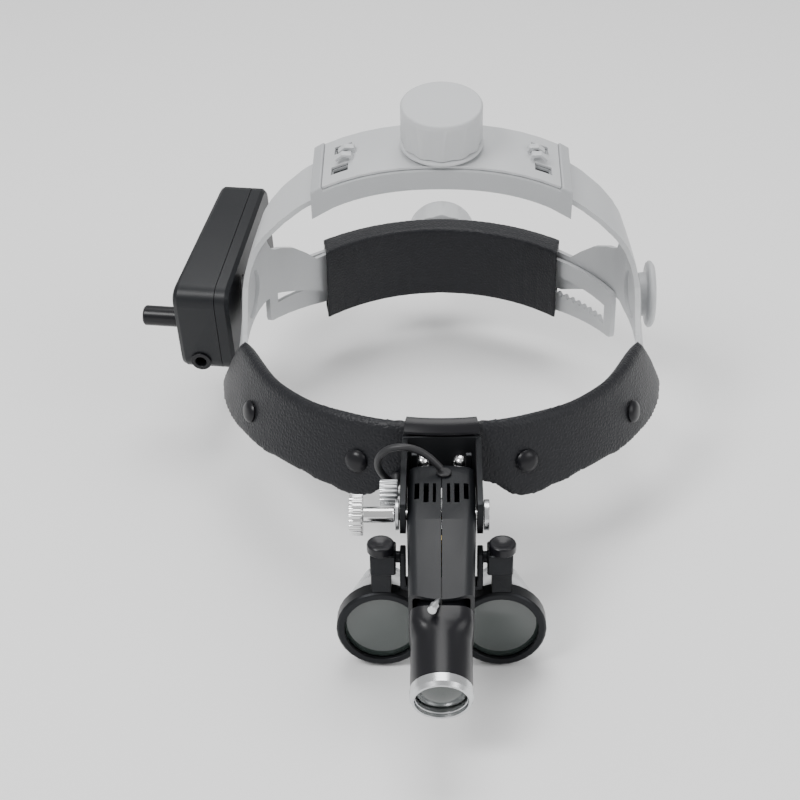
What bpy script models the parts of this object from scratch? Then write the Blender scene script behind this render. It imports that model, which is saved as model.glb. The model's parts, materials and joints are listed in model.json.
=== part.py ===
"""Dental loupes: a head frame that carries a headlight, a pair of loupes and a battery box.

Frame: metres, +Z up, the wearer looks along -Y, the origin is the middle of the head ring.
All sizes below are in millimetres and are scaled to metres when a piece is finished.
"""

import bisect
import math

import bmesh
import bpy
from mathutils import Matrix, Vector

MM = 0.001
GAP = 0.3                      # between two pieces that touch
X_AXIS, Y_AXIS, Z_AXIS = Vector((1, 0, 0)), Vector((0, 1, 0)), Vector((0, 0, 1))

# Head ring: an upright ellipse seen from above, the middle of the side frames' plastic.
RING_HALF_WIDTH = 86.1
RING_HALF_DEPTH = 102.1
FRAME_THICKNESS = 2.2
STRAP_LAYER = 1.35             # how far a crossing strap lies from the ring's middle surface

# Ear of a side frame, where its three arms meet.
EAR_Y = 14.0
EAR_Z = 5.0
RECESS_RADIUS = 11.0
RECESS_DEPTH = 1.0
EAR_CAP_RADIUS = 15.0

# Crown arch: it leaves the ears and leans forward over the head.
ARCH_HALF_WIDTH = 86.1
ARCH_HEIGHT = 81.5
ARCH_POWER = 2.25
ARCH_LEAN = math.radians(13.0)
ARCH_FOOT_Y = 11.5
CROWN_WIDTH = 32.0
CROWN_HALF_ARC = 57.0          # from the middle of the tray to its end, along the arch
CROWN_FLANGE = 9.5
CROWN_WALL = 1.6
COLLAR_LENGTH = 6.0
CROWN_END_X = 53.5

# Straps that cross inside the rear housing and under the crown tray.
RACK_PITCH = 4.5
RACK_TOOTH = 1.7
PINION_RADIUS = 3.9
PINION_TEETH = 6
REAR_AXIS_Z = -17.0

# Rear housing.
HOUSING_HALF_ARC = 80.0
HOUSING_END = Vector((54.6, 70.0, 0))   # the ends are cut by a plane through here
HOUSING_SPLAY = math.radians(9.7)
BOSS_HEIGHT = 3.1
HOUSING_TOP = -2.9
HOUSING_BOTTOM = -37.2
HOUSING_INNER = -4.3           # from the ring's middle surface, outwards positive
HOUSING_OUTER = 5.0
HOUSING_WALL = 1.3
PAD_THICKNESS = 2.0

# Adjusting knobs.
KNOB_RADIUS = 16.7
KNOB_HEIGHT = 17.0
KNOB_FLUTES = 12

# Leather cushion of the front band; its outer face is an ellipse that leans back.
BAND_HALF_WIDTH = 91.3
BAND_HALF_DEPTH = 104.0
BAND_LEAN = math.radians(14.5)
BAND_END = math.radians(79.5)
COVER_THICKNESS = 1.4
SLOT_INNER = -6.2              # the slot between cover and pad ends here, from the outer face
BAND_THICKNESS = 8.4
BAND_SLOT_ARM = -4.7           # middle of the side frame's arm in the slot
STRIP_OUT = -1.75
STRIP_IN = -3.25
RIVET_RADIUS = 4.6
RIVETS = (("front", math.radians(20.7), -9.8), ("side", math.radians(56.4), -11.8))

# Bracket that carries the optics.
CHEEK_INNER = 13.0
CHEEK_OUTER = 15.2
CHEEK_FRONT_Y = -150.0
WEB_THICKNESS = 2.0
TILT_AXIS = Vector((0, -144.0, -4.7))
LOCK_AXIS = Vector((0, -128.0, -5.8))
NUT_X = 7.2

# Headlight: its own axis points forward and a little down.
LIGHT_DECLINE = math.radians(15.5)
LIGHT_ORIGIN = Vector((0, -151.7, -12.65))
LIGHT_HALF_WIDTH = 12.6
LIGHT_TOP = 12.4
LIGHT_BOTTOM = -11.8
LIGHT_REAR = -35.5
LIGHT_REAR_TOP = 5.0
LIGHT_BEND = -2.0
LIGHT_MOUTH = 32.2
LIGHT_WALL = 1.6
BARREL_RADIUS = 10.75
BARREL_START = 35.4
BARREL_SHOULDER = 45.5
BARREL_END = 62.6
BEZEL_RADIUS = 10.95
BEZEL_LENGTH = 4.8

# Loupes.
LOUPE_X = 22.0
LOUPE_Z = -45.4
RIM_FRONT_Y = -160.0
RIM_LENGTH = 7.0
RIM_RADIUS = 17.0
OBJECTIVE_RADIUS = 14.3
EYE_RADIUS = 8.8
LOUPE_LENGTH = 29.0
RAIL_Y = -153.0
RAIL_Z = -17.0
THUMB_Y = -157.4
RAIL_RADIUS = 2.2

# Battery box on the wearer's right.
BOX_LENGTH = 86.6
BOX_HEIGHT = 44.5
BOX_THICKNESS = 25.4
BOX_CENTRE = Vector((-99.4, 40.5, 1.4))
BOX_LONG = Vector((0.127, 0.973, 0.197)).normalized()
BOX_WALL = 1.6
DIMMER_RADIUS = 4.5

# Light cable.
CABLE_RADIUS = 1.4
CABLE_ROUTE = [
    (-17.6, -111.8, -13.0),
    (-18.8, -114.0, -10.5),
    (-21.8, -117.0, -5.6),
    (-23.9, -119.5, 0.2),
    (-23.4, -121.3, 5.9),
    (-19.6, -122.6, 10.2),
    (-14.0, -123.6, 11.7),
    (-8.6, -124.0, 10.4),
    (-4.4, -124.8, 7.8),
    (-1.6, -125.3, 5.0),
    (-0.4, -125.5, 3.7),
]
CABLE_HOLE = Vector((0.9, -125.7, 1.3))

COLOURS = {
    "pale_plastic": ((0.60, 0.61, 0.62, 1), 0.42, 0.0),
    "grey_plastic": ((0.42, 0.43, 0.44, 1), 0.45, 0.0),
    "leather": ((0.018, 0.020, 0.026, 1), 0.48, 0.0),
    "charcoal_plastic": ((0.030, 0.033, 0.038, 1), 0.50, 0.0),
    "black_plastic": ((0.012, 0.012, 0.014, 1), 0.30, 0.0),
    "black_metal": ((0.016, 0.017, 0.019, 1), 0.35, 0.6),
    "satin_metal": ((0.62, 0.63, 0.64, 1), 0.30, 1.0),
    "bright_metal": ((0.78, 0.78, 0.78, 1), 0.20, 1.0),
    "brass": ((0.65, 0.48, 0.20, 1), 0.35, 1.0),
    "glass": ((0.16, 0.20, 0.19, 1), 0.05, 0.0),
    "circuit_green": ((0.02, 0.15, 0.06, 1), 0.50, 0.0),
    "cell_wrap": ((0.05, 0.12, 0.35, 1), 0.40, 0.0),
    "cable_rubber": ((0.014, 0.014, 0.016, 1), 0.45, 0.0),
}


# ---------------------------------------------------------------- helpers

def clear_scene():
    for old in list(bpy.data.objects):
        bpy.data.objects.remove(old, do_unlink=True)


def make_materials():
    made = {}
    for name, (colour, roughness, metallic) in COLOURS.items():
        material = bpy.data.materials.new(name)
        material.use_nodes = True
        shader = material.node_tree.nodes["Principled BSDF"]
        shader.inputs["Base Color"].default_value = colour
        shader.inputs["Roughness"].default_value = roughness
        shader.inputs["Metallic"].default_value = metallic
        made[name] = material
    return made


def ease(value, low, high):
    """0 below low, 1 above high, and a smooth step between."""
    share = min(max((value - low) / (high - low), 0.0), 1.0)
    return share * share * (3 - 2 * share)


def along(points, value):
    """Reads a smooth curve through (position, value) pairs at one position."""
    for (x0, y0), (x1, y1) in zip(points, points[1:]):
        if value <= x1:
            return y0 + (y1 - y0) * ease(value, x0, x1)
    return points[-1][1]


def placement(origin, side, forward, up):
    """Matrix whose X, Y and Z are side, forward and up, at origin in millimetres."""
    columns = Matrix((side, forward, up)).transposed().to_4x4()
    return Matrix.Translation(origin) @ columns


def finish(name, bm, material, place=None, pivot=None, smooth=35.0):
    """Turns a bmesh in millimetres into a named object in metres, its origin on its pivot."""
    if place is not None:
        bmesh.ops.transform(bm, matrix=place, verts=bm.verts)
    bmesh.ops.recalc_face_normals(bm, faces=bm.faces)
    origin = Vector(pivot) if pivot is not None else Vector((0, 0, 0))
    bmesh.ops.transform(bm, matrix=Matrix.Scale(MM, 4) @ Matrix.Translation(-origin), verts=bm.verts)
    mesh = bpy.data.meshes.new(name)
    bm.to_mesh(mesh)
    bm.free()
    mesh.shade_smooth()
    mesh.set_sharp_from_angle(angle=math.radians(smooth))
    if material is not None:
        mesh.materials.append(material)
    made = bpy.data.objects.new(name, mesh)
    made.location = origin * MM
    bpy.context.scene.collection.objects.link(made)
    return made


def cut(target, name, bm, place=None, operation="DIFFERENCE"):
    """Takes the shape in bm out of target, or joins it on, with a Boolean."""
    bmesh.ops.triangulate(bm, faces=bm.faces[:])
    cutter = finish("cut_" + name, bm, None, place)
    cutter.hide_render = True
    cutter.display_type = "WIRE"
    reuse_cut(target, cutter, operation)
    return cutter


def reuse_cut(target, cutter, operation="DIFFERENCE"):
    modifier = target.modifiers.new(cutter.name, "BOOLEAN")
    modifier.operation = operation
    modifier.object = cutter


def prism(outline, depth, start=0.0):
    """A flat outline in XY, drawn up along Z."""
    bm = bmesh.new()
    face = bm.faces.new([bm.verts.new((x, y, start)) for x, y in outline])
    drawn = bmesh.ops.extrude_face_region(bm, geom=[face])
    moved = [item for item in drawn["geom"] if isinstance(item, bmesh.types.BMVert)]
    bmesh.ops.translate(bm, vec=(0, 0, depth), verts=moved)
    return bm


def turned(profile, steps=24, closed=False):
    """Spins (radius, height) points about Z; closed joins the last point to the first."""
    bm = bmesh.new()
    verts = [bm.verts.new((radius, 0, height)) for radius, height in profile]
    pairs = list(zip(verts, verts[1:]))
    if closed:
        pairs.append((verts[-1], verts[0]))
    edges = [bm.edges.new(pair) for pair in pairs]
    bmesh.ops.spin(bm, geom=verts + edges, axis=Z_AXIS, cent=(0, 0, 0), angle=2 * math.pi,
                   steps=steps, use_merge=True)
    bmesh.ops.remove_doubles(bm, verts=bm.verts, dist=0.0005)
    return bm


def drum(radius, low, high, steps=24):
    return turned([(0, low), (radius, low), (radius, high), (0, high)], steps)


def swept(sections):
    """Skins closed sections of equally many points, one after the other, and fills both ends."""
    bm = bmesh.new()
    rings = [[bm.verts.new(point) for point in section] for section in sections]
    for near, far in zip(rings, rings[1:]):
        for index, vert in enumerate(near):
            bm.faces.new((near[index - 1], vert, far[index], far[index - 1]))
    bm.faces.new(rings[0][::-1])
    bm.faces.new(rings[-1])
    bmesh.ops.connect_verts_nonplanar(bm, angle_limit=0.0001, faces=bm.faces[:])
    return bm


def trimmed(bm, corner, splay=0.0):
    """Cuts the shape off upright at both sides, through corner and its mirror image."""
    for side in (1, -1):
        geometry = bm.verts[:] + bm.edges[:] + bm.faces[:]
        outwards = (side * math.cos(splay), -math.sin(splay), 0)
        cuts = bmesh.ops.bisect_plane(bm, geom=geometry, plane_co=(side * corner[0], corner[1], corner[2]),
                                      plane_no=outwards, clear_outer=True)["geom_cut"]
        bmesh.ops.edgenet_fill(bm, edges=[item for item in cuts if isinstance(item, bmesh.types.BMEdge)])
    return bm


def block(low, high, bevel=0.0, segments=1):
    """A box between two corners with bevelled edges."""
    bm = bmesh.new()
    bmesh.ops.create_cube(bm, size=1.0)
    low, high = Vector(low), Vector(high)
    bmesh.ops.scale(bm, vec=high - low, verts=bm.verts)
    bmesh.ops.translate(bm, vec=(low + high) / 2, verts=bm.verts)
    if bevel:
        bmesh.ops.bevel(bm, geom=bm.edges[:], offset=bevel, segments=segments, profile=0.5,
                        affect="EDGES")
    return bm


def rounded_rectangle(width, height, radius, steps=3, centre=(0.0, 0.0)):
    points = []
    corners = ((1, 1, 0), (-1, 1, 90), (-1, -1, 180), (1, -1, 270))
    for sign_x, sign_y, start in corners:
        for step in range(steps + 1):
            angle = math.radians(start + 90 * step / steps)
            points.append((centre[0] + sign_x * (width / 2 - radius) + radius * math.cos(angle),
                           centre[1] + sign_y * (height / 2 - radius) + radius * math.sin(angle)))
    return points


def circle(radius, steps, centre=(0.0, 0.0)):
    return [(centre[0] + radius * math.cos(2 * math.pi * step / steps),
             centre[1] + radius * math.sin(2 * math.pi * step / steps)) for step in range(steps)]


def gear_outline(root, tip, teeth):
    """Straight-sided teeth: two points at the tip and two at the root of each."""
    points = []
    for tooth in range(teeth):
        for share, radius in ((-0.30, root), (-0.14, tip), (0.14, tip), (0.30, root)):
            angle = 2 * math.pi * (tooth + share) / teeth
            points.append((radius * math.cos(angle), radius * math.sin(angle)))
    return points


def wrapped(outline, holes, surface, layers, s_cuts, h_cuts):
    """Fills a flat outline with holes, cuts it finely and bends it onto a surface(s, h, out)."""
    bm = bmesh.new()
    edges = []
    for loop in [outline] + holes:
        verts = [bm.verts.new((s, h, 0)) for s, h in loop]
        edges += [bm.edges.new(pair) for pair in zip(verts, verts[1:] + verts[:1])]
    bmesh.ops.triangle_fill(bm, use_beauty=True, edges=edges, normal=Z_AXIS)
    for axis, cuts in ((X_AXIS, s_cuts), (Y_AXIS, h_cuts)):
        for place in cuts:
            bmesh.ops.bisect_plane(bm, geom=bm.verts[:] + bm.edges[:] + bm.faces[:], dist=0.01,
                                   plane_co=axis * place, plane_no=axis)
    base = bm.verts[:]
    drawn = bmesh.ops.extrude_face_region(bm, geom=bm.faces[:])
    lifted = [item for item in drawn["geom"] if isinstance(item, bmesh.types.BMVert)]
    for verts, out in ((base, layers[0]), (lifted, layers[1])):
        for vert in verts:
            vert.co = surface(vert.co.x, vert.co.y, out)
    return bm


class ArcTable:
    """A plane curve from a function of an angle, read by length along it."""

    def __init__(self, curve, start, end, steps=720):
        self.points = [Vector(curve(start + (end - start) * step / steps)) for step in range(steps + 1)]
        self.lengths = [0.0]
        for before, after in zip(self.points, self.points[1:]):
            self.lengths.append(self.lengths[-1] + (after - before).length)

    def at(self, length):
        index = min(max(bisect.bisect_right(self.lengths, length) - 1, 0), len(self.points) - 2)
        span = self.lengths[index + 1] - self.lengths[index]
        share = (length - self.lengths[index]) / span
        return self.points[index].lerp(self.points[index + 1], share)

    def length_where(self, test):
        return next(length for point, length in zip(self.points, self.lengths) if test(point))


# ---------------------------------------------------------------- curves of the head frame

def ring_curve(angle):
    return RING_HALF_WIDTH * math.cos(angle), RING_HALF_DEPTH * math.sin(angle)


def arch_curve(angle):
    across, up = math.cos(angle), math.sin(angle)
    power = 2 / ARCH_POWER
    return (math.copysign(ARCH_HALF_WIDTH * abs(across) ** power, across),
            ARCH_HEIGHT * max(up, 0.0) ** power)


RING = ArcTable(ring_curve, -math.pi / 2, 3 * math.pi / 2)
ARCH = ArcTable(arch_curve, 0.0, math.pi)
EAR_ON_RING = RING.length_where(lambda point: point.x > 0 and point.y > EAR_Y)
REAR_S = RING.length_where(lambda point: point.x <= 0 and point.y > 0) - EAR_ON_RING
CROWN_H = ARCH.lengths[-1] / 2
ARCH_UP = Vector((0, -math.sin(ARCH_LEAN), math.cos(ARCH_LEAN)))
ARCH_BACK = Vector((0, math.cos(ARCH_LEAN), math.sin(ARCH_LEAN)))


def ring_angle(plan):
    """Angle round the ring from straight ahead, towards +X."""
    return math.atan2(plan.x / RING_HALF_WIDTH, -plan.y / RING_HALF_DEPTH)


def ring_s(angle):
    """Length along the ring from the right ear to an angle from straight ahead."""
    index = round(angle / (2 * math.pi) * (len(RING.lengths) - 1))
    return RING.lengths[index] - EAR_ON_RING


def ring_point(s):
    """Plan position on the ring, s millimetres behind the right ear."""
    return RING.at(s + EAR_ON_RING)


def frame_middle(s, h):
    """A side frame's middle surface: s runs along the ring to the rear, h runs up the crown arm."""
    plan = ring_point(s)
    arch = ARCH.at(max(h, 0.0))
    lean = ease(h, 10.0, 60.0)
    beside = plan.y - EAR_Y
    rise = arch.y if h > 0 else h
    upright = Vector((0, plan.y, rise))
    leaning = ARCH_UP * rise + ARCH_BACK * beside + Vector((0, ARCH_FOOT_Y, 0))
    point = upright.lerp(leaning, lean)
    point.x = arch.x + (plan.x - ARCH_HALF_WIDTH) * (1 - lean)
    in_band = band_surface(ring_angle(plan), h, BAND_SLOT_ARM)
    return point.lerp(in_band, ease(-s, 16.0, 38.0))


def frame_surface(crossing):
    """The middle surface moved out by a layer where the two frames' straps cross."""
    def surface(s, h, out):
        step = 0.5
        along_s = frame_middle(s + step, h) - frame_middle(s - step, h)
        along_h = frame_middle(s, h + step) - frame_middle(s, h - step)
        normal = along_s.cross(along_h).normalized()
        layer = crossing * STRAP_LAYER * max(ease(s, 11, 26), ease(h, CROWN_H - 60, CROWN_H - 35))
        return frame_middle(s, h) + normal * (out + layer)
    return surface


def arch_surface(v, p, out):
    """The crown's own surface: v towards the rear, p along the arch from its top to the right."""
    def middle(distance):
        arch = ARCH.at(CROWN_H - distance)
        return Vector((arch.x, 0, 0)) + ARCH_UP * arch.y + Vector((0, ARCH_FOOT_Y, 0))
    tangent = (middle(p + 0.5) - middle(p - 0.5)).normalized()
    normal = tangent.cross(ARCH_BACK).normalized()
    return middle(p) + ARCH_BACK * v + normal * out


def ring_surface(s, z, out):
    """The ring's surface: s from the right ear towards the rear."""
    plan = ring_point(s)
    ahead = ring_point(s + 0.5) - ring_point(s - 0.5)
    normal = Vector((ahead.y, -ahead.x)).normalized()
    return Vector((plan.x + normal.x * out, plan.y + normal.y * out, z))


def band_surface(angle, z, out):
    """The front band: angle from straight ahead towards +X, out from the leather's outer face."""
    across = math.sin(angle)
    ahead = math.cos(angle)
    normal = Vector((across / BAND_HALF_WIDTH, -ahead / BAND_HALF_DEPTH, 0)).normalized()
    lean = normal * math.cos(BAND_LEAN) + Z_AXIS * math.sin(BAND_LEAN)
    foot = Vector((BAND_HALF_WIDTH * across, -BAND_HALF_DEPTH * ahead, 0))
    rise = Z_AXIS * z - normal * (z * math.tan(BAND_LEAN))
    return foot + rise + lean * out


# ---------------------------------------------------------------- side frames

STRAP_TIPS = {1: 2 * REAR_S - 28.0, -1: 2 * REAR_S - 23.5}


def rack_slot(start, end, centre, half_height, teeth_below):
    """Outline of a strap's slot with rack teeth along one edge of its far part."""
    def middle(s):
        return along(centre, s)
    teeth = []
    first = REAR_S + 2 * RACK_PITCH
    count = int((end - 3 - first) / RACK_PITCH)
    side = -1 if teeth_below else 1
    for tooth in range(count):
        s = first + tooth * RACK_PITCH
        for share, rise in ((0.05, 0), (0.35, RACK_TOOTH), (0.60, RACK_TOOTH), (0.90, 0)):
            at = s + share * RACK_PITCH
            teeth.append((at, middle(at) + side * (half_height - rise)))
    plain = [(s, middle(s) - side * half_height)
             for s in (start, REAR_S, (REAR_S + end) / 2, end)]
    toothed = [(start, middle(start) + side * half_height)] + teeth
    toothed.append((end, middle(end) + side * half_height))
    return toothed + plain[::-1]


def strap_edges(s, side):
    """Height of the rear strap's lower and upper edge, s millimetres behind the ear."""
    if side > 0:
        low = [(30, -9.0), (46, -15.0), (68, -24.0), (100, -27.5), (REAR_S, -29.0), (199, -31.4), (240, -23.3)]
        high = [(22, 15.0), (34, 12.5), (46, 7.5), (56, 0.8), (63, -4.9), (REAR_S, -4.6), (199, -4.8), (240, -1.0)]
    else:
        low = [(30, -9.0), (46, -15.0), (68, -24.0), (100, -27.5), (REAR_S, -29.0), (198, -34.6), (245, -29.3)]
        high = [(22, 15.0), (34, 12.5), (46, 7.5), (56, 0.8), (63, -4.9), (REAR_S, -4.6), (200, -7.6), (245, -6.2)]
    return along(low, s), along(high, s)


def side_frame_outline(side):
    """Round the piece: front arm, under the ear, out along the strap and back, up the crown arm."""
    tip = STRAP_TIPS[side]
    corner = 3.0
    front = [(-80, -19.0), (-60, -19.0), (-46, -14.5), (-34, -10.0), (-22, -8.5), (-8, -8.6), (6, -8.2), (18, -7.4)]
    under = [(s, strap_edges(s, side)[0]) for s in (30, 38, 46, 57, 68, 100, REAR_S, 198, 220, tip - corner)]
    over = [(s, strap_edges(s, side)[1]) for s in (tip - corner, 220, 198, REAR_S, 100, 63, 56, 46, 40, 34)]
    low, high = under[-1][1], over[0][1]
    end = [(tip - 0.8, low + 0.8), (tip, low + corner), (tip, high - corner), (tip - 0.8, high - 0.8)]
    neck_back = [(28, 14.3), (23.5, 16.5), (20.0, 21.0), (16.5, 27.0), (13.0, 35.0), (12.0, 45.0),
                 (12.4, 60.0), (13.0, 75.0)]
    crown_end = CROWN_H + 26.0
    top_back = [(13.0, CROWN_H - 50), (13.0, crown_end - 4), (9.0, crown_end)]
    top_front = [(-9.0, crown_end), (-13.0, crown_end - 4), (-13.0, CROWN_H - 50)]
    neck_front = [(-13.0, 75.0), (-12.4, 60.0), (-12.0, 48.0), (-13.0, 38.0), (-16.0, 28.0),
                  (-20.0, 19.0), (-26.0, 10.5), (-34.0, 3.5), (-46.0, -1.0), (-60.0, -5.0), (-80.0, -7.0)]
    return front + under + end + over + neck_back + top_back + top_front + neck_front


def make_side_frame(name, side, materials):
    """side is 1 for the right frame and -1 for the left one, whose strap crosses inside."""
    tip = STRAP_TIPS[side]
    slot_middle = [(120, REAR_AXIS_Z), (REAR_S + 8, REAR_AXIS_Z), (199, -19.2), (236, -11.5)]
    if side < 0:
        slot_middle = [(120, REAR_AXIS_Z), (REAR_S + 8, REAR_AXIS_Z), (198, -21.5), (240, -20.4)]
    slot = rack_slot(REAR_S - 9, tip - 8, slot_middle, 4.9, teeth_below=side < 0)
    crown_slot = [(-4.6, CROWN_H - 9), (4.6, CROWN_H - 9), (4.6, CROWN_H + 20), (-4.6, CROWN_H + 20)]
    half = FRAME_THICKNESS / 2
    s_cuts = [-72 + 9 * step for step in range(36)]
    h_cuts = [12 + 10 * step for step in range(int((CROWN_H + 14) / 10))]
    _, rivet_angle, rivet_z = RIVETS[1]
    rivet_hole = circle(1.9, 8, (ring_s(rivet_angle), rivet_z))
    bm = wrapped(side_frame_outline(side), [slot, crown_slot, rivet_hole], frame_surface(side), (-half, half),
                 s_cuts, h_cuts)
    if side < 0:
        bmesh.ops.scale(bm, vec=(-1, 1, 1), verts=bm.verts)
    frame = finish(name, bm, materials["pale_plastic"])
    floor = frame_surface(side)(0, EAR_Z, RECESS_DEPTH - half)
    inwards = (frame_surface(side)(0, EAR_Z, -half) - floor).normalized()
    floor.x, inwards.x = side * floor.x, side * inwards.x
    across = inwards.cross(Z_AXIS).normalized()
    cut(frame, name + "_recess", drum(RECESS_RADIUS, 0, 4, 26), placement(floor, across, inwards.cross(across), inwards))


def ear_place(side, x, y=EAR_Y, z=EAR_Z):
    """Z of a turned piece points outwards from the head at an ear."""
    return placement((side * x, y, z), Y_AXIS, Z_AXIS * side, X_AXIS * side)


def make_side_frames(materials):
    make_side_frame("side_frame_right", 1, materials)
    make_side_frame("side_frame_left", -1, materials)
    foot, rim = 87.4, 91.6
    cap = [(0, foot), (9.5, foot), (10.0, rim - 0.6), (EAR_CAP_RADIUS - 0.8, rim - 0.4),
           (EAR_CAP_RADIUS, rim + 0.6), (EAR_CAP_RADIUS - 0.2, rim + 1.8),
           (EAR_CAP_RADIUS - 1.6, rim + 2.8), (0, rim + 3.2)]
    finish("ear_cap_right", turned(cap, 28), materials["pale_plastic"], ear_place(1, 0, EAR_Y + 3, EAR_Z - 1.5))
    clip = [(0, foot + 0.1), (9.0, foot + 0.1), (9.0, foot + 1.0), (0, foot + 1.0)]
    finish("battery_clip", turned(clip, 28), materials["black_plastic"], ear_place(-1, 0))


# ---------------------------------------------------------------- front band

def band_top(angle):
    """Upper edge of the leather: level round the head, then slanting down to the pointed ends."""
    return along([(0, 9.0), (22, 8.0), (38, 7.0), (50, 7.2), (64, 8.4), (70, 8.2), (72.5, 5.0),
                  (75, -2.0), (78, -12.0), (79.5, -17.0)], abs(math.degrees(angle)))


def band_bottom(angle):
    """Lower edge: raised behind the bracket, then nearly level."""
    return along([(9.5, -15.0), (13, -17.0), (15.5, -21.5), (18.4, -23.7), (21.8, -24.1), (26.8, -22.8),
                  (32.5, -21.8), (40.4, -21.3), (47.7, -22.0), (55.6, -22.8), (71.4, -23.6),
                  (76.5, -23.2), (79.5, -21.0)], abs(math.degrees(angle)))


def cushion_section(angle):
    top, bottom = band_top(angle), band_bottom(angle)
    roll = min(4.0, (top - bottom) * 0.4)
    slot_top = top - 5.0 + (bottom + 5.6 - top) * ease(abs(math.degrees(angle)), 66, 69)
    shape = [(0.0, bottom), (0.0, top - roll), (-0.5, top - roll * 0.42), (-2.2, top), (-4.6, top - roll * 0.4),
             (-6.8, top - roll * 0.85), (-BAND_THICKNESS, top - roll * 1.6), (-BAND_THICKNESS, bottom),
             (SLOT_INNER, bottom), (SLOT_INNER, slot_top), (-COVER_THICKNESS, slot_top),
             (-COVER_THICKNESS, bottom)]
    return [band_surface(angle, z, out) for out, z in shape]


def band_place(angle, z):
    """Z points out of the leather at a place on the band."""
    origin = band_surface(angle, z, 0)
    out = (band_surface(angle, z, 1) - origin).normalized()
    side = out.cross(Z_AXIS).normalized()
    return placement(origin, side, out.cross(side), out)


def make_front_band(materials):
    stations = [-1 + 2 * step / 44 for step in range(45)]
    stations = [share + 0.12 * share * (share * share - 1) for share in stations]
    cushion = finish("front_cushion", swept([cushion_section(share * BAND_END) for share in stations]),
                     materials["leather"], smooth=50)
    passage = [(-84, -20.5), (-60, -20.3), (-46, -16.0), (-34, -11.6), (-22, -10.2), (-8, -10.2), (-8, 30.0),
               (-18, 24.0), (-26, 12.4), (-34, 5.2), (-46, 0.8), (-60, -3.4), (-84, -5.4)]
    for side, hand in ((1, "right"), (-1, "left")):
        around = wrapped(passage, [], frame_surface(side), (-1.5, 1.5), [-80 + 8 * step for step in range(10)],
                         [4, 12, 20])
        if side < 0:
            bmesh.ops.scale(around, vec=(-1, 1, 1), verts=around.verts)
        cut(cushion, "arm_passage_" + hand, around)
    strip_end = math.radians(64.5)
    lows = [(strip_end * share / 14, band_bottom(strip_end * share / 14) + 3.0) for share in range(-14, 15)]
    highs = [(angle, min(band_top(angle) - 6.2, 2.0)) for angle, _ in lows[::-1]]
    outline = [(math.degrees(angle), z) for angle, z in lows + highs]
    outline = [(degrees, z if abs(degrees) < 58 else along([(58, z), (64.5, max(min(z, -8.0), -19.0))],
               abs(degrees))) for degrees, z in outline]
    holes = [circle_on_band(side * angle, z) for _, angle, z in RIVETS for side in (-1, 1)]
    strip = wrapped(outline, holes, lambda degrees, z, out: band_surface(math.radians(degrees), z, out),
                    (STRIP_IN, STRIP_OUT), [-60 + 8 * step for step in range(16)], [])
    finish("front_strip", strip, materials["grey_plastic"])
    for label, angle, z in RIVETS:
        tail = -6.0 if label == "side" else -3.9
        dome = [(0, tail), (1.5, tail), (1.5, GAP), (RIVET_RADIUS, GAP), (RIVET_RADIUS, 0.8),
                (4.0, 1.6), (2.4, 2.2), (0, 2.4)]
        for side, hand in ((1, "right"), (-1, "left")):
            place = band_place(side * angle, z)
            finish(f"rivet_{label}_{hand}", turned(dome, 20), materials["black_plastic"], place)
            cut(cushion, f"rivet_{label}_{hand}", drum(1.9, -3.0, 3.0, 10), place)
    return cushion


def circle_on_band(angle, z):
    """A rivet hole in degrees and millimetres, round on the curved strip."""
    reach = (band_surface(angle + 0.01, z, 0) - band_surface(angle - 0.01, z, 0)).length / 0.02
    return [(math.degrees(angle + 1.9 * math.cos(turn) / reach), z + 1.9 * math.sin(turn))
            for turn in (2 * math.pi * step / 8 for step in range(8))]


# ---------------------------------------------------------------- bracket and its screws

YZ_PLATE = placement((0, 0, 0), Y_AXIS, Z_AXIS, X_AXIS)
LEAN_PLACE = placement((0, -BAND_HALF_DEPTH, 0), X_AXIS,
                       Vector((0, -math.cos(BAND_LEAN), math.sin(BAND_LEAN))) * -1,
                       Vector((0, math.sin(BAND_LEAN), math.cos(BAND_LEAN))))


def x_place(centre):
    """Z of a turned piece points along +X, through a point."""
    return placement(centre, Y_AXIS, Z_AXIS, X_AXIS)


def make_bracket(materials):
    web = block((-CHEEK_OUTER, -0.6 - WEB_THICKNESS, -16.5), (CHEEK_OUTER, -0.6, 4.5), 0.3)
    frame = finish("bracket_frame", web, materials["black_metal"], LEAN_PLACE)
    cheek = [(-104.6, 4.4), (-110.0, 4.6), (-147.5, 4.0), (-149.4, 3.4), (CHEEK_FRONT_Y, 1.8),
             (CHEEK_FRONT_Y, -7.4), (-149.2, -9.4), (-147.2, -10.3), (-134.0, -12.2), (-109.4, -16.2)]
    for side, hand in ((1, "right"), (-1, "left")):
        start = CHEEK_INNER if side > 0 else -CHEEK_OUTER
        plate = prism(cheek, CHEEK_OUTER - CHEEK_INNER, start)
        cut(frame, "cheek_" + hand, plate, YZ_PLATE, "UNION")
    cut(frame, "tilt_bore", drum(2.4, -20, 20, 14), x_place(TILT_AXIS))
    cut(frame, "lock_bore", drum(1.9, -20, 0, 12), x_place(LOCK_AXIS))
    for side, hand in ((1, "right"), (-1, "left")):
        place = LEAN_PLACE @ Matrix.Translation((side * NUT_X, 0, -5.2)) @ Matrix.Rotation(math.radians(90), 4, "X")
        cut(frame, "stud_" + hand, drum(1.7, -1, 6, 10), place)
        nut = [(0, 0.3), (1.3, 0.3), (1.3, 2.9), (3.0, 2.9), (3.0, 4.8), (2.4, 6.2), (1.1, 7.1), (0, 7.3)]
        finish("dome_nut_" + hand, turned(nut, 18), materials["bright_metal"], place)
    cap = [(0.4, 4.9), (0.4, 7.5), (-0.3, 8.6), (-1.7, 9.6), (-1.4, 10.4), (0.6, 9.6), (2.4, 7.9), (3.6, 5.9),
           (3.6, 4.9)]
    sections = [[band_surface(math.radians(degrees), z, out) for out, z in cap]
                for degrees in (-9.0, -6.0, -3.0, 0.0, 3.0, 6.0, 9.0)]
    finish("bracket_cap", swept(sections), materials["black_plastic"], smooth=50)


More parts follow.
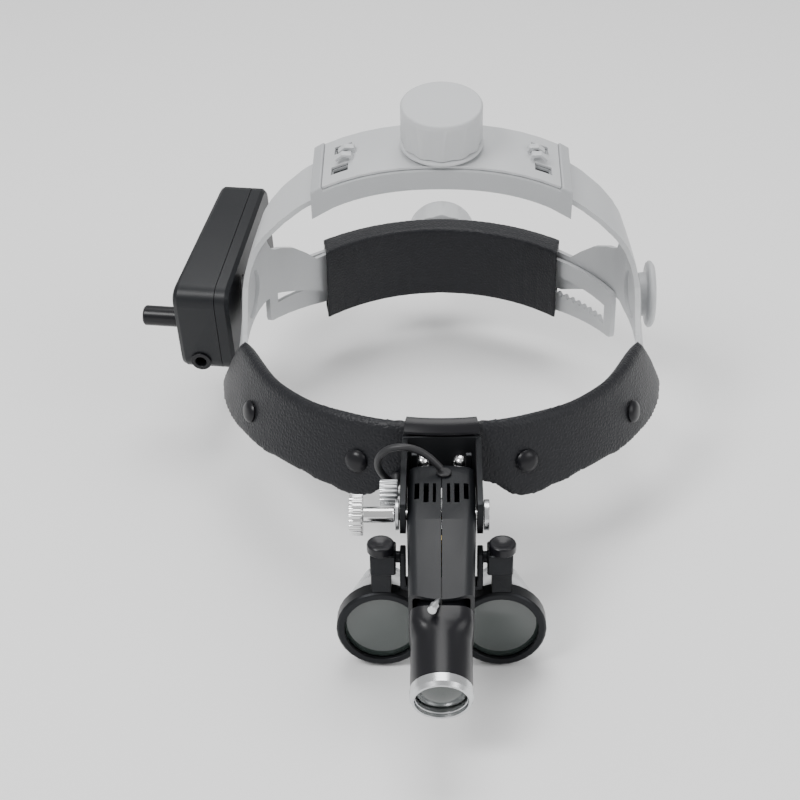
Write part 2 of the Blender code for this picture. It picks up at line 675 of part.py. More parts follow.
def knurled(radius, depth, teeth, start):
    return prism(gear_outline(radius - 0.35, radius, teeth), depth, start)


def make_screws(materials):
    head = finish("tilt_screw", knurled(7.6, 5.0, 24, -33.7), materials["bright_metal"],
                  x_place(TILT_AXIS), TILT_AXIS)
    shank = turned([(0, -29.2), (3.0, -29.2), (3.0, -17.3), (2.0, -17.0), (2.0, 15.2), (0, 15.2)], 18)
    cut(head, "tilt_shank", shank, x_place(TILT_AXIS), "UNION")
    for hand, start, length, bore in (("left", -16.9, 1.3, 2.4), ("right", 15.5, 2.0, None)):
        washer = turned([(bore, start), (5.7, start), (5.7, start + length), (bore, start + length)], 24,
                        True) if bore else drum(5.7, start, start + length, 24)
        finish("tilt_washer_" + hand, washer, materials["satin_metal"], x_place(TILT_AXIS))
    lock = finish("lock_knob", knurled(5.0, 6.7, 18, -23.1), materials["satin_metal"],
                  x_place(LOCK_AXIS), LOCK_AXIS)
    stud = turned([(0, -17), (1.5, -17), (1.5, -13.3), (0, -13.3)], 12)
    cut(lock, "lock_stud", stud, x_place(LOCK_AXIS), "UNION")


# ---------------------------------------------------------------- headlight

LIGHT_FORWARD = Vector((0, -math.cos(LIGHT_DECLINE), -math.sin(LIGHT_DECLINE)))
LIGHT_UP = Vector((0, -math.sin(LIGHT_DECLINE), math.cos(LIGHT_DECLINE)))
LIGHT_PLACE = placement(LIGHT_ORIGIN, X_AXIS * -1, LIGHT_FORWARD, LIGHT_UP)
LIGHT_AXLE = placement(LIGHT_ORIGIN, X_AXIS, LIGHT_UP, LIGHT_FORWARD)


def light_point(x, a, b):
    return LIGHT_ORIGIN + Vector((x, 0, 0)) + LIGHT_FORWARD * a + LIGHT_UP * b


def light_width(a):
    return along([(LIGHT_REAR, 10.0), (LIGHT_REAR + 2.5, LIGHT_HALF_WIDTH), (0, LIGHT_HALF_WIDTH),
                  (LIGHT_MOUTH, 11.5)], a)


def light_top(a):
    if a < LIGHT_BEND:
        level = LIGHT_TOP - (LIGHT_TOP - LIGHT_REAR_TOP) * (a - LIGHT_BEND) / (LIGHT_REAR - LIGHT_BEND)
        return level - 1.6 * (1 - ease(a, LIGHT_REAR, LIGHT_REAR + 2.5))
    return LIGHT_TOP - 0.9 * a / LIGHT_MOUTH


def light_bottom(a):
    return LIGHT_BOTTOM + 2.2 * (1 - ease(a, LIGHT_REAR, LIGHT_REAR + 4.0))


def mouth_at(x):
    """The housing's front edge reaches furthest forward in the middle."""
    return LIGHT_MOUTH + 1.0 - 3.6 * (x / LIGHT_HALF_WIDTH) ** 2


def half_shell_section(side, a, inset, radius):
    """Half of a rounded rectangle across the light's axis, from the seam to one side."""
    width, top, bottom = light_width(a) - inset, light_top(a) - inset, light_bottom(a) + inset
    seam = GAP / 2 if inset == 0 else 0.0
    points = [(seam, top)]
    for start, centre_b in ((90, top - radius), (0, bottom + radius)):
        for step in range(4):
            angle = math.radians(start - 30 * step)
            points.append((width - radius + radius * math.cos(angle), centre_b + radius * math.sin(angle)))
    points.append((seam, bottom))
    return [(side * x, a, b) for x, b in points]


def make_headlight(materials):
    stations = [LIGHT_REAR, LIGHT_REAR + 0.8, LIGHT_REAR + 2.5, -28, LIGHT_BEND, LIGHT_MOUTH + 2]
    inner = []
    for a in (LIGHT_REAR + 2.2, LIGHT_BEND, LIGHT_MOUTH + 9):
        right = half_shell_section(1, a, LIGHT_WALL, 2.4)
        left = half_shell_section(-1, a, LIGHT_WALL, 2.4)
        inner.append([light_point(*point) for point in right + left[::-1] if abs(point[0]) > 0.01])
    shells = []
    cavity = None
    for side, hand in ((1, "right"), (-1, "left")):
        sections = [half_shell_section(side, a, 0.0, 3.6) for a in stations]
        sections = [[light_point(*point) for point in section] for section in sections]
        shell = finish("headlight_shell_" + hand, swept(sections), materials["charcoal_plastic"],
                       pivot=TILT_AXIS)
        if cavity is None:
            cavity = cut(shell, "light_cavity", swept(inner))
            mouth = [(x, mouth_at(x)) for x in (-14, -10, -7.5, -5, -2.5, 0, 2.5, 5, 7.5, 10, 14)]
            mouth_cut = cut(shell, "light_mouth", prism(mouth + [(14, 50), (-14, 50)], 40, -20), LIGHT_PLACE
                        @ Matrix.Scale(-1, 4, X_AXIS))
        else:
            reuse_cut(shell, cavity)
            reuse_cut(shell, mouth_cut)
        cut(shell, "light_bore_" + hand, drum(2.4, 5 if side > 0 else -20, 20 if side > 0 else -5, 14),
            x_place(TILT_AXIS))
        for low_x, high_x, front in ((2.0, 3.2, -11.7), (4.7, 6.6, -11.7), (8.2, 10.0, -13.6)):
            slot = block((min(side * low_x, side * high_x), -23.0, 2), (max(side * low_x, side * high_x), front, 20))
            cut(shell, f"vent_{hand}_{low_x:.0f}", slot, placement(LIGHT_ORIGIN, X_AXIS, LIGHT_FORWARD * -1, LIGHT_UP)
                @ Matrix.Scale(-1, 4, Y_AXIS))
        shells.append(shell)
    hole_place = placement(CABLE_HOLE, X_AXIS, Y_AXIS, Z_AXIS)
    for shell, hand in zip(shells, ("right", "left")):
        cut(shell, "cable_hole_" + hand, drum(2.6, -4, 4, 14), hole_place)
    grommet = [(0, -2.4), (2.3, -2.4), (2.3, 0.6), (3.0, 0.6), (2.6, 1.2), (0, 1.2)]
    finish("cable_grommet", turned(grommet, 16), materials["cable_rubber"], hole_place, TILT_AXIS)


def make_light_engine(materials):
    comb = [(-8.4, -8.8), (8.4, -8.8)]
    for tooth in range(5, -1, -1):
        x = -8.4 + tooth * 3.0
        comb += [(x + 1.8, -2.0), (x, -2.0)]
        if tooth:
            comb += [(x, -6.4), (x - 1.2, -6.4)]
    finish("heat_sink", prism(comb, 15.0, -27.5), materials["satin_metal"], LIGHT_AXLE, TILT_AXIS)
    finish("driver_board", block((-8.5, -9.3, -9.8), (8.5, -8.1, 8.0), 0.2), materials["circuit_green"],
           LIGHT_AXLE, TILT_AXIS)
    led = [(0, 1.5), (7.6, 1.5), (7.6, 4.0), (3.0, 4.0), (3.0, 5.4), (1.6, 6.2), (0, 6.4)]
    finish("led_module", turned(led, 24), materials["brass"], LIGHT_AXLE, TILT_AXIS)
    iris = [(4.0, 28.0), (8.4, 28.0), (8.4, 29.2), (4.0, 29.2)]
    finish("iris_plate", turned(iris, 24, True), materials["black_metal"], LIGHT_AXLE, TILT_AXIS)


def barrel_section(a):
    """Rounded square where it meets the housing, round further forward."""
    share = ease(a, BARREL_START + 4, BARREL_SHOULDER)
    power = 4.6 - 2.6 * share
    wide = 11.4 + (BARREL_RADIUS - 11.4) * share
    points = []
    for step in range(28):
        angle = 2 * math.pi * step / 28
        x = math.copysign(abs(math.cos(angle)) ** (2 / power), math.cos(angle))
        b = math.copysign(abs(math.sin(angle)) ** (2 / power), math.sin(angle))
        points.append(light_point(wide * x, a, (wide - 0.4 * (1 - share)) * b))
    return points


def make_barrel(materials):
    stations = (BARREL_START, BARREL_START + 2, BARREL_START + 5, BARREL_START + 7.5, BARREL_SHOULDER, BARREL_END)
    barrel = finish("lens_barrel", swept([barrel_section(a) for a in stations]), materials["black_plastic"],
                    pivot=TILT_AXIS)
    cut(barrel, "barrel_neck", drum(9.4, 22.0, BARREL_START + 2, 26), LIGHT_AXLE, "UNION")
    cut(barrel, "barrel_bore", drum(8.7, 18.0, BARREL_END + 4, 26), LIGHT_AXLE)
    start, end = BARREL_END + GAP, BARREL_END + GAP + BEZEL_LENGTH
    bezel = [(8.9, start), (BEZEL_RADIUS, start), (BEZEL_RADIUS, end - 1.5), (BEZEL_RADIUS - 0.9, end),
             (9.3, end), (9.1, end - 1.6), (8.9, end - 1.6)]
    finish("bezel_ring", turned(bezel, 28, True), materials["satin_metal"], LIGHT_AXLE, LIGHT_ORIGIN)
    glass = [(0, end - 7.2), (8.5, end - 7.2), (8.5, end - 3.6), (6.4, end - 2.7), (3.4, end - 2.1), (0, end - 1.9)]
    finish("condenser_lens", turned(glass, 32), materials["glass"], LIGHT_AXLE, TILT_AXIS)
    path = [(-0.8, 34.2, 9.9), (-1.0, 34.3, 11.9), (-1.4, 35.2, 13.2), (-2.0, 37.0, 14.0), (-2.5, 38.4, 14.5)]
    lever = finish("spot_lever", tube([light_point(*point) for point in path], 0.95, 10),
                   materials["black_metal"], pivot=LIGHT_ORIGIN)
    tip_from, tip_to = light_point(-2.3, 37.9, 14.3), light_point(-3.3, 40.8, 15.2)
    cut(lever, "lever_tip", tube([tip_from, tip_to], 1.65, 14), None, "UNION")
    return barrel


def tube(path, radius, sides):
    """A round bar along a few points."""
    sections = []
    side = (path[1] - path[0]).cross(Vector((0.3, 0.2, 1))).normalized()
    for index, point in enumerate(path):
        ahead = (path[min(index + 1, len(path) - 1)] - path[max(index - 1, 0)]).normalized()
        side = (side - ahead * side.dot(ahead)).normalized()
        up = ahead.cross(side)
        sections.append([point + (side * math.cos(turn) + up * math.sin(turn)) * radius
                         for turn in (2 * math.pi * step / sides for step in range(sides))])
    return swept(sections)


def make_yoke(materials):
    plate = block((-9.5, -14.2, -33.0), (9.5, LIGHT_BOTTOM - GAP, 2.0), 0.3)
    yoke = finish("light_yoke", plate, materials["black_metal"], LIGHT_AXLE, TILT_AXIS)
    for side, hand in ((1, "right"), (-1, "left")):
        low, high = (9.1, 11.4) if side > 0 else (-11.4, -9.1)
        foot_low, foot_high = (8.7, 11.2) if side > 0 else (-11.2, -8.7)
        cut(yoke, "yoke_foot_" + hand, block((foot_low, -14.0, -37.4), (foot_high, -12.4, -30.0)), LIGHT_AXLE, "UNION")
        cut(yoke, "yoke_ear_" + hand, block((low, -14.2, -37.6), (high, 8.6, -36.0), 0.2), LIGHT_AXLE, "UNION")


# ---------------------------------------------------------------- loupes

def y_place(side, x=LOUPE_X, z=LOUPE_Z, y=RIM_FRONT_Y):
    """Z of a turned piece points back along +Y from the rim's front."""
    return placement((side * x, y, z), X_AXIS * -1, Z_AXIS, Y_AXIS)


def make_loupe_bar(materials):
    bar = finish("loupe_bar", block((-CHEEK_OUTER, -157.0, -29.3), (CHEEK_OUTER, -150.6, -27.4), 0.3),
                 materials["black_metal"], pivot=TILT_AXIS)
    for side, hand in ((1, "right"), (-1, "left")):
        low, high = (CHEEK_INNER, CHEEK_OUTER) if side > 0 else (-CHEEK_OUTER, -CHEEK_INNER)
        cut(bar, "bar_plate_" + hand, block((low, -157.0, -29.3), (high, -150.6, -13.2), 0.4), None, "UNION")
        rail = drum(RAIL_RADIUS, 14.0, 22.8, 14)
        cut(bar, "bar_rail_" + hand, rail, placement((0, RAIL_Y, RAIL_Z), Y_AXIS, Z_AXIS * side, X_AXIS * side), "UNION")


def make_loupe(side, hand, materials):
    place = y_place(side)
    low, high = sorted((side * 16.6, side * 25.9))
    carriage = finish("loupe_carriage_" + hand, block((low, -160.2, -20.4), (high, -150.2, -11.8), 0.5),
                      materials["black_metal"], pivot=(side * LOUPE_X, RAIL_Y, RAIL_Z))
    low, high = sorted((side * 18.3, side * 25.7))
    cut(carriage, "post_" + hand, block((low, -159.5, -31.5), (high, -152.6, -19.8), 0.3), None, "UNION")
    cut(carriage, "post_foot_" + hand, drum(RIM_RADIUS + GAP, -5, 15, 32), place)
    rail_place = placement((0, RAIL_Y, RAIL_Z), Y_AXIS, Z_AXIS * side, X_AXIS * side)
    cut(carriage, "rail_bore_" + hand, drum(RAIL_RADIUS + GAP, 10, 24.2, 16), rail_place)
    screw_place = placement((side * LOUPE_X, THUMB_Y, 0), X_AXIS, Y_AXIS, Z_AXIS)
    cut(carriage, "screw_bore_" + hand, drum(1.8, -15.0, -5, 10), screw_place)
    thumb = [(0, -14.6), (1.5, -14.6), (1.5, -11.5), (4.3, -11.5), (5.0, -10.9), (5.0, -7.9), (4.5, -7.4),
             (3.6, -7.4), (2.2, -8.1), (0, -8.3)]
    finish("loupe_screw_" + hand, turned(thumb, 18), materials["black_plastic"], screw_place,
           (side * LOUPE_X, THUMB_Y, -9.0))
    rim = [(14.0, 0.0), (16.2, 0.0), (RIM_RADIUS, 0.8), (RIM_RADIUS, RIM_LENGTH - 0.6), (16.4, RIM_LENGTH),
           (14.9, RIM_LENGTH), (14.9, 1.6), (14.0, 1.6)]
    pivot = (side * LOUPE_X, RAIL_Y, RAIL_Z)
    finish("loupe_rim_" + hand, turned(rim, 32, True), materials["black_metal"], place, pivot)
    lens = [(0, 1.0), (7.5, 1.3), (12.0, 1.9), (OBJECTIVE_RADIUS, 2.3), (OBJECTIVE_RADIUS, 5.0), (0, 5.0)]
    finish("objective_lens_" + hand, turned(lens, 24), materials["glass"], place, pivot)
    front, rear = RIM_LENGTH + GAP, LOUPE_LENGTH
    body = [(13.6, front), (15.9, front), (15.4, front + 2.0), (EYE_RADIUS + 1.6, rear - 5.0),
            (EYE_RADIUS, rear - 3.5), (EYE_RADIUS, rear), (EYE_RADIUS - 1.6, rear),
            (EYE_RADIUS - 1.6, rear - 4.5), (13.6, front + 2.0)]
    finish("loupe_body_" + hand, turned(body, 28, True), materials["satin_metal"], place, pivot)
    eye = [(0, rear - 3.6), (EYE_RADIUS - 2.0, rear - 3.6), (EYE_RADIUS - 2.0, rear - 1.8), (0, rear - 1.2)]
    finish("eyepiece_lens_" + hand, turned(eye, 24), materials["glass"], place, pivot)


# ---------------------------------------------------------------- crown

CROWN_TOP = arch_surface(0, 0, 0)
CROWN_PLACE = placement(CROWN_TOP, X_AXIS, ARCH_BACK, ARCH_UP)
TRAY_WEB_LOW, TRAY_WEB_HIGH = 2.8, 4.2
COLLAR_HIGH = 6.2
COVER_LOW, COVER_HIGH = 4.5, 5.7
WINDOWS = ((-6.8, 40.5), (6.8, 39.5))       # across the crown and along it, for both sides


def make_crown(materials):
    half, wall = CROWN_WIDTH / 2, CROWN_WALL
    low = TRAY_WEB_HIGH - CROWN_FLANGE
    inside = CROWN_HALF_ARC - COLLAR_LENGTH - 3.0
    stations = [(inside * step / 10, TRAY_WEB_HIGH) for step in range(-10, 11)]
    collar = [(inside + 0.1, COLLAR_HIGH - 0.3), (inside + 0.5, COLLAR_HIGH), (CROWN_HALF_ARC + 6.0, COLLAR_HIGH)]
    stations = [(-p, top) for p, top in collar[::-1]] + stations + collar
    sections = []
    for p, top in stations:
        channel = [(-half, low), (-half, top - 0.4), (-half + 0.4, top), (half - 0.4, top), (half, top - 0.4),
                   (half, low), (half - wall, low), (half - wall, TRAY_WEB_LOW), (-half + wall, TRAY_WEB_LOW),
                   (-half + wall, low)]
        sections.append([arch_surface(v, p, out) for v, out in channel])
    tray_shape = trimmed(swept(sections), (CROWN_END_X, 0, 0))
    tray = finish("crown_tray", tray_shape, materials["grey_plastic"])
    cut(tray, "tray_bore", drum(2.9, -1, 9, 16), CROWN_PLACE)
    reach = inside - GAP
    outline = [(-reach, -half + 0.9), (reach, -half + 0.9), (reach, half - 0.9), (-reach, half - 0.9)]
    windows = [[(side * p + dx, v + dv) for dx, dv in ((-3.6, -2.6), (3.6, -2.6), (3.6, 2.6), (-3.6, 2.6))]
               for v, p in WINDOWS for side in (-1, 1)]
    cover = wrapped(outline, windows + [circle(2.9, 16)], lambda p, v, out: arch_surface(v, p, out),
                    (COVER_LOW, COVER_HIGH), [-48 + 8 * step for step in range(13)], [])
    cover_made = finish("crown_cover", cover, materials["pale_plastic"])
    for number, (v, p) in enumerate(WINDOWS):
        for side, hand in ((1, "right"), (-1, "left")):
            edge = 1 if number == 0 else -1
            cut(tray, f"window_{hand}_{number}", block((-3.6, -2.6, -2), (3.6, 2.6, 9)),
                crown_place_at(side * p, v))
            hook = [(-3.4, COVER_HIGH - 0.5), (-3.4, 8.2), (0.2, 9.6), (3.6, 8.2), (3.6, 7.0), (0.2, 8.3),
                    (-2.0, 7.4), (-2.0, COVER_HIGH - 0.5)]
            hook_at = crown_place_at(side * p - 2.4 * side, v + edge * 4.4)
            lying = placement((0, 0, 0), X_AXIS * side, Z_AXIS, Y_AXIS * -side)
            cut(cover_made, f"hook_{hand}_{number}", prism(hook, 3.0, -1.5), hook_at @ lying, "UNION")


def crown_place_at(p, v):
    """Z points out of the crown's surface at a place p along it and v across it."""
    origin = arch_surface(v, p, 0)
    out = (arch_surface(v, p, 1) - origin).normalized()
    along_p = ARCH_BACK.cross(out)
    return placement(origin, along_p, ARCH_BACK, out)


def fluted_outline(radius, depth, flutes, steps=4):
    points = []
    for step in range(flutes * steps):
        angle = 2 * math.pi * step / (flutes * steps)
        points.append((radius - depth * (0.5 - 0.5 * math.cos(flutes * angle)), angle))
    return [(r * math.cos(angle), r * math.sin(angle)) for r, angle in points]


def make_knob(name, place, pivot, start, materials):
    """A drum with shallow flutes and a plain disc face, turned on a pinion shaft."""
    full = circle(KNOB_RADIUS, KNOB_FLUTES * 4)
    fluted = fluted_outline(KNOB_RADIUS, 0.9, KNOB_FLUTES)
    top = start + KNOB_HEIGHT
    levels = [(fluted, start, 1.0), (full, top - 3.0, 1.0), (full, top - 0.8, 1.0), (full, top, 0.965)]
    sections = [[Vector((x * scale, y * scale, z)) for x, y in outline] for outline, z, scale in levels]
    knob = finish(name, swept(sections), materials["pale_plastic"], place, pivot)
    cut(knob, name + "_bore", drum(2.6, start - 2, start + 8, 14), place)
    return knob


def make_pinion(name, place, pivot, low, high, shaft_end, materials):
    gear = finish(name, prism(gear_outline(2.6, PINION_RADIUS, PINION_TEETH), high - low, low),
                  materials["satin_metal"], place, pivot)
    cut(gear, name + "_shaft", drum(2.2, high - 0.5, shaft_end, 14), place, "UNION")


def make_crown_knob(materials):
    flange = turned([(3.0, COVER_HIGH + 0.9), (17.2, COVER_HIGH + 0.9), (17.2, COVER_HIGH + 2.0),
                     (16.4, COVER_HIGH + 2.4), (3.0, COVER_HIGH + 2.4)], 36, True)
    finish("crown_knob_washer", flange, materials["pale_plastic"], CROWN_PLACE)
    make_knob("crown_knob", CROWN_PLACE, CROWN_TOP, COVER_HIGH + 2.7, materials)
    make_pinion("crown_pinion", CROWN_PLACE, CROWN_TOP, -3.6, 2.3, COVER_HIGH + 9.5, materials)


# ---------------------------------------------------------------- rear housing

REAR_CENTRE = Vector((0, RING_HALF_DEPTH, REAR_AXIS_Z))
REAR_PLACE = placement(REAR_CENTRE, X_AXIS * -1, Z_AXIS, Y_AXIS)


def make_rear(materials):
    stations = [REAR_S - HOUSING_HALF_ARC + 2 * HOUSING_HALF_ARC * step / 20 for step in range(21)]
    inner, outer, wall = HOUSING_INNER, HOUSING_OUTER, HOUSING_WALL
    box = [(inner, HOUSING_BOTTOM + 1.2), (inner, HOUSING_TOP), (outer, HOUSING_TOP),
           (outer, HOUSING_BOTTOM + 1.2), (outer - 1.2, HOUSING_BOTTOM), (inner + 1.2, HOUSING_BOTTOM)]
    hollow = [(inner + wall, HOUSING_BOTTOM + wall), (inner + wall, HOUSING_TOP - wall),
              (outer - wall, HOUSING_TOP - wall), (outer - wall, HOUSING_BOTTOM + wall)]
    outside = swept([[ring_surface(s, z, out) for out, z in box] for s in stations])
    housing = finish("rear_housing", trimmed(outside, HOUSING_END, HOUSING_SPLAY), materials["black_plastic"])
    cut(housing, "rear_hollow", swept([[ring_surface(s, z, out) for out, z in hollow] for s in stations]))
    boss = drum(13.5, HOUSING_OUTER - 1.0, HOUSING_OUTER + BOSS_HEIGHT, 28)
    cut(housing, "rear_boss", boss, REAR_PLACE, "UNION")
    cut(housing, "rear_bore", drum(2.9, 2, 12, 16), REAR_PLACE)
    low, high = inner - GAP - PAD_THICKNESS, inner - GAP
    pad = [(low, HOUSING_BOTTOM + 0.6), (low, HOUSING_TOP + 1.0), (low + 0.9, HOUSING_TOP + 1.9),
           (outer + 0.4, HOUSING_TOP + 1.9), (outer + 0.4, HOUSING_TOP + GAP), (high, HOUSING_TOP + GAP),
           (high, HOUSING_BOTTOM + 0.6)]
    cushion = swept([[ring_surface(s, z, out) for out, z in pad] for s in stations])
    finish("rear_pad", trimmed(cushion, HOUSING_END + X_AXIS * 0.4, HOUSING_SPLAY), materials["leather"])
    make_knob("rear_knob", REAR_PLACE, REAR_CENTRE, HOUSING_OUTER + BOSS_HEIGHT + 0.7, materials)
    make_pinion("rear_pinion", REAR_PLACE, REAR_CENTRE, -2.7, 3.3, HOUSING_OUTER + BOSS_HEIGHT + 7.5, materials)


# ---------------------------------------------------------------- battery box

BOX_SIDE = Vector((BOX_LONG.y, -BOX_LONG.x, 0)).normalized()
BOX_UP = BOX_SIDE.cross(BOX_LONG).normalized()
BOX_PLACE = placement(BOX_CENTRE, BOX_LONG, BOX_UP, BOX_LONG.cross(BOX_UP))
BOX_SEAM = 6.4
BOX_TAPER = 4.6


def box_sections(levels, grow=0.0):
    """Rounded rectangles across the box's thickness, each (level, inset)."""
    sections = []
    for level, inset in levels:
        outline = rounded_rectangle(BOX_LENGTH - 2 * inset, BOX_HEIGHT - 2 * inset, 7.5 - min(inset, 4.0) + grow, 4)
        sections.append([Vector((x, y, level)) for x, y in outline])
    return sections


def tapered(bm):
    """The box is thinner towards its rear end: its outer side leans in."""
    half = BOX_THICKNESS / 2
    for vert in bm.verts:
        along_box = vert.co.x / BOX_LENGTH + 0.5
        outer = max(BOX_SEAM - vert.co.z, 0.0) / (BOX_SEAM + half)
        vert.co.z += BOX_TAPER * along_box * outer
    return bm


def make_battery_box(materials):
    half = BOX_THICKNESS / 2
    shape = swept(box_sections([(-half, 2.6), (-half + 0.8, 0.9), (-half + 2.6, 0), (BOX_SEAM, 0)]))
    case = finish("battery_case", tapered(shape), materials["charcoal_plastic"], BOX_PLACE)
    inside = swept(box_sections([(-half + BOX_WALL, BOX_WALL + 0.6), (BOX_SEAM + 2, BOX_WALL + 0.6)]))
    cut(case, "case_cavity", tapered(inside), BOX_PLACE)
    cover = finish("battery_cover", swept(box_sections([(BOX_SEAM + GAP, 0), (half - 1.6, 0), (half, 1.4)])),
                   materials["charcoal_plastic"], BOX_PLACE)
    cut(cover, "cover_cavity", swept(box_sections([(BOX_SEAM - 2, BOX_WALL + 0.6), (half - BOX_WALL, BOX_WALL + 0.6)])),
        BOX_PLACE)
    cell_place = BOX_PLACE @ Matrix.Rotation(math.radians(90), 4, "Y")
    finish("battery_cell", turned([(0, -30), (8.5, -30), (8.5, 33), (4.0, 33), (4.0, 34.2), (0, 34.2)], 20),
           materials["cell_wrap"], cell_place @ Matrix.Translation((-2.2, 8.2, 0)))
    finish("control_board", block((-34, -14.8, -5.6), (20, -13.2, 5.0), 0.2), materials["circuit_green"], BOX_PLACE)
    front = -BOX_LENGTH / 2
    socket_place = BOX_PLACE @ Matrix.Translation((front, -15.2, -2.8)) @ Matrix.Rotation(math.radians(-90), 4, "Y")
    socket = [(2.6, -4.0), (4.2, -4.0), (4.2, 0.2), (4.6, 0.5), (4.6, 1.0), (2.6, 1.0)]
    finish("charge_socket", turned(socket, 24, True), materials["black_plastic"], socket_place)
    cut(case, "socket_hole", drum(4.5, -6, 0.1, 20), socket_place)
    cut(case, "socket_land", drum(4.9, 0.05, 3, 20), socket_place)
    dimmer_place = BOX_PLACE @ Matrix.Translation((-33.0, 0.6, -half + 0.5)) @ Matrix.Rotation(math.radians(180), 4, "X")
    cut(case, "dimmer_hole", drum(3.4, -4, 3, 18), dimmer_place)
    knob = [(0, 0.9), (DIMMER_RADIUS - 0.3, 0.9), (DIMMER_RADIUS, 1.3), (DIMMER_RADIUS, 16.2), (3.9, 17.0), (0, 17.0)]
    pivot = dimmer_place.translation
    dimmer = finish("dimmer_knob", turned(knob, 20), materials["black_plastic"], dimmer_place, pivot)
    cut(dimmer, "dimmer_shaft", drum(2.8, -1.2, 2.0, 16), dimmer_place, "UNION")


# ---------------------------------------------------------------- light cable

def smooth_route(points, spacing):
    """A smooth curve through the route's points, read at even steps."""
    route = [Vector(point) for point in points]
    ends = [route[0] * 2 - route[1]] + route + [route[-1] * 2 - route[-2]]
    fine = []
    for before, start, end, after in zip(ends, ends[1:], ends[2:], ends[3:]):
        for step in range(20):
            t = step / 20
            fine.append(0.5 * ((2 * start) + (end - before) * t + (2 * before - 5 * start + 4 * end - after) * t * t
                               + (3 * start - before - 3 * end + after) * t ** 3))
    fine.append(route[-1])
    length = sum((after - before).length for before, after in zip(fine, fine[1:]))
    count = round(length / spacing)
    picked, travelled, target = [fine[0]], 0.0, length / count
    for before, after in zip(fine, fine[1:]):
        travelled += (after - before).length
        while travelled >= target - 1e-6 and len(picked) < count:
            picked.append(after)
            target += length / count
    return picked + [fine[-1]]


def make_cable(materials):
    curve = bpy.data.curves.new("light_cable", "CURVE")
    curve.dimensions = "3D"
    points = smooth_route(CABLE_ROUTE, 3.2 * CABLE_RADIUS)
    spline = curve.splines.new("POLY")
    spline.points.add(len(points) - 1)
    for target, point in zip(spline.points, points):
        target.co = (*(point * MM), 1)
    curve.bevel_depth = CABLE_RADIUS * MM
    curve.bevel_resolution = 2
    curve.use_fill_caps = True
    curve.materials.append(materials["cable_rubber"])
    cable = bpy.data.objects.new("light_cable", curve)
    bpy.context.scene.collection.objects.link(cable)
    boot_place = placement((-17.6, -111.2, -13.0), X_AXIS * -1, Z_AXIS, Y_AXIS)
    boot = [(0, 0.4), (1.7, 0.4), (2.6, 3.4), (2.6, 4.5), (0, 4.5)]
    finish("cable_boot", turned(boot, 16), materials["cable_rubber"], boot_place)


def main():
    clear_scene()
    materials = make_materials()
    make_side_frames(materials)
    make_front_band(materials)
    make_bracket(materials)
    make_screws(materials)
    make_headlight(materials)
    make_light_engine(materials)
    make_barrel(materials)
    make_yoke(materials)
    make_loupe_bar(materials)
    for side, hand in ((1, "right"), (-1, "left")):
        make_loupe(side, hand, materials)
    make_crown(materials)
    make_crown_knob(materials)
    make_rear(materials)
    make_battery_box(materials)
    make_cable(materials)


main()
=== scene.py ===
# %% [markdown]
# # Dental loupes on a headband
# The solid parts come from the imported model, which already has every piece at
# its real size and place. This lesson gives them soft edges and real finishes,
# pads the leather, and lays the light's cable. Nothing here moves a part.

import json
import math

import bmesh
import bpy
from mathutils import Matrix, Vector

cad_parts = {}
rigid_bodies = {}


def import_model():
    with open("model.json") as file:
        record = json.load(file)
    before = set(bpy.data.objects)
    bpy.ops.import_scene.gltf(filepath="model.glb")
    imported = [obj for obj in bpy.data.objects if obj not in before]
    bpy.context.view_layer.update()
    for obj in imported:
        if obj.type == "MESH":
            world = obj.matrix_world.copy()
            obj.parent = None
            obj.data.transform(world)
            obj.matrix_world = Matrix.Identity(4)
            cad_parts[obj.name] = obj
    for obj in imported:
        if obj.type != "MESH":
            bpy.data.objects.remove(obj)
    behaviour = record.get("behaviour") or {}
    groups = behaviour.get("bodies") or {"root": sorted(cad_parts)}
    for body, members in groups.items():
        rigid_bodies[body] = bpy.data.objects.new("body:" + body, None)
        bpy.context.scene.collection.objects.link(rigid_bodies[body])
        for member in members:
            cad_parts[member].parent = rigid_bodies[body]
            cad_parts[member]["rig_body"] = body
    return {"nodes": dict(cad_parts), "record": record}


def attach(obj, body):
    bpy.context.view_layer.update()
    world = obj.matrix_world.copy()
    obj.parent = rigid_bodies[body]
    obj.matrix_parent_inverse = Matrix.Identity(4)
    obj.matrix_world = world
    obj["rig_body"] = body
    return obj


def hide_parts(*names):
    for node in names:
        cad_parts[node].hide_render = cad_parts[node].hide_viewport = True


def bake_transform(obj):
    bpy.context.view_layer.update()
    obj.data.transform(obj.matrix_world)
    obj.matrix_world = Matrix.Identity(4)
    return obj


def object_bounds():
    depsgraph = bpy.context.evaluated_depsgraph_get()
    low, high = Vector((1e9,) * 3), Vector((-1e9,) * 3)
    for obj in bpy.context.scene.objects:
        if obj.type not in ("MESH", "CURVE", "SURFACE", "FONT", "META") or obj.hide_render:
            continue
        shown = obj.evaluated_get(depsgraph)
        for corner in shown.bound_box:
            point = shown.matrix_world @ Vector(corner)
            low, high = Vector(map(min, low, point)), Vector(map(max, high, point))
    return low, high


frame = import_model()
cad_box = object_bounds()
slot_of = {row["node"]: row["material_slot"] for row in frame["record"]["subparts"]}
print("nodes:", len(frame["nodes"]), "box:", [round(n, 4) for corner in cad_box for n in corner])

# %% [markdown]
# The camera stands in front of the wearer's face, a little above the band, and
# looks down at it. A long lens keeps the perspective gentle. The picture's
# middle is a little to one side of the object's, so the lens is shifted.

# %% Camera
camera_data = bpy.data.cameras.new("camera")
camera_data.lens = 74.7
camera_data.sensor_width = 36.0
camera_data.shift_x = -0.0519
camera = bpy.data.objects.new("camera", camera_data)
camera.location = (0, -0.6446, 0.3427)
camera.rotation_euler = (math.radians(90 - 30.8), 0, 0)
bpy.context.scene.collection.objects.link(camera)
bpy.context.scene.camera = camera
print("camera height:", camera.location.z)

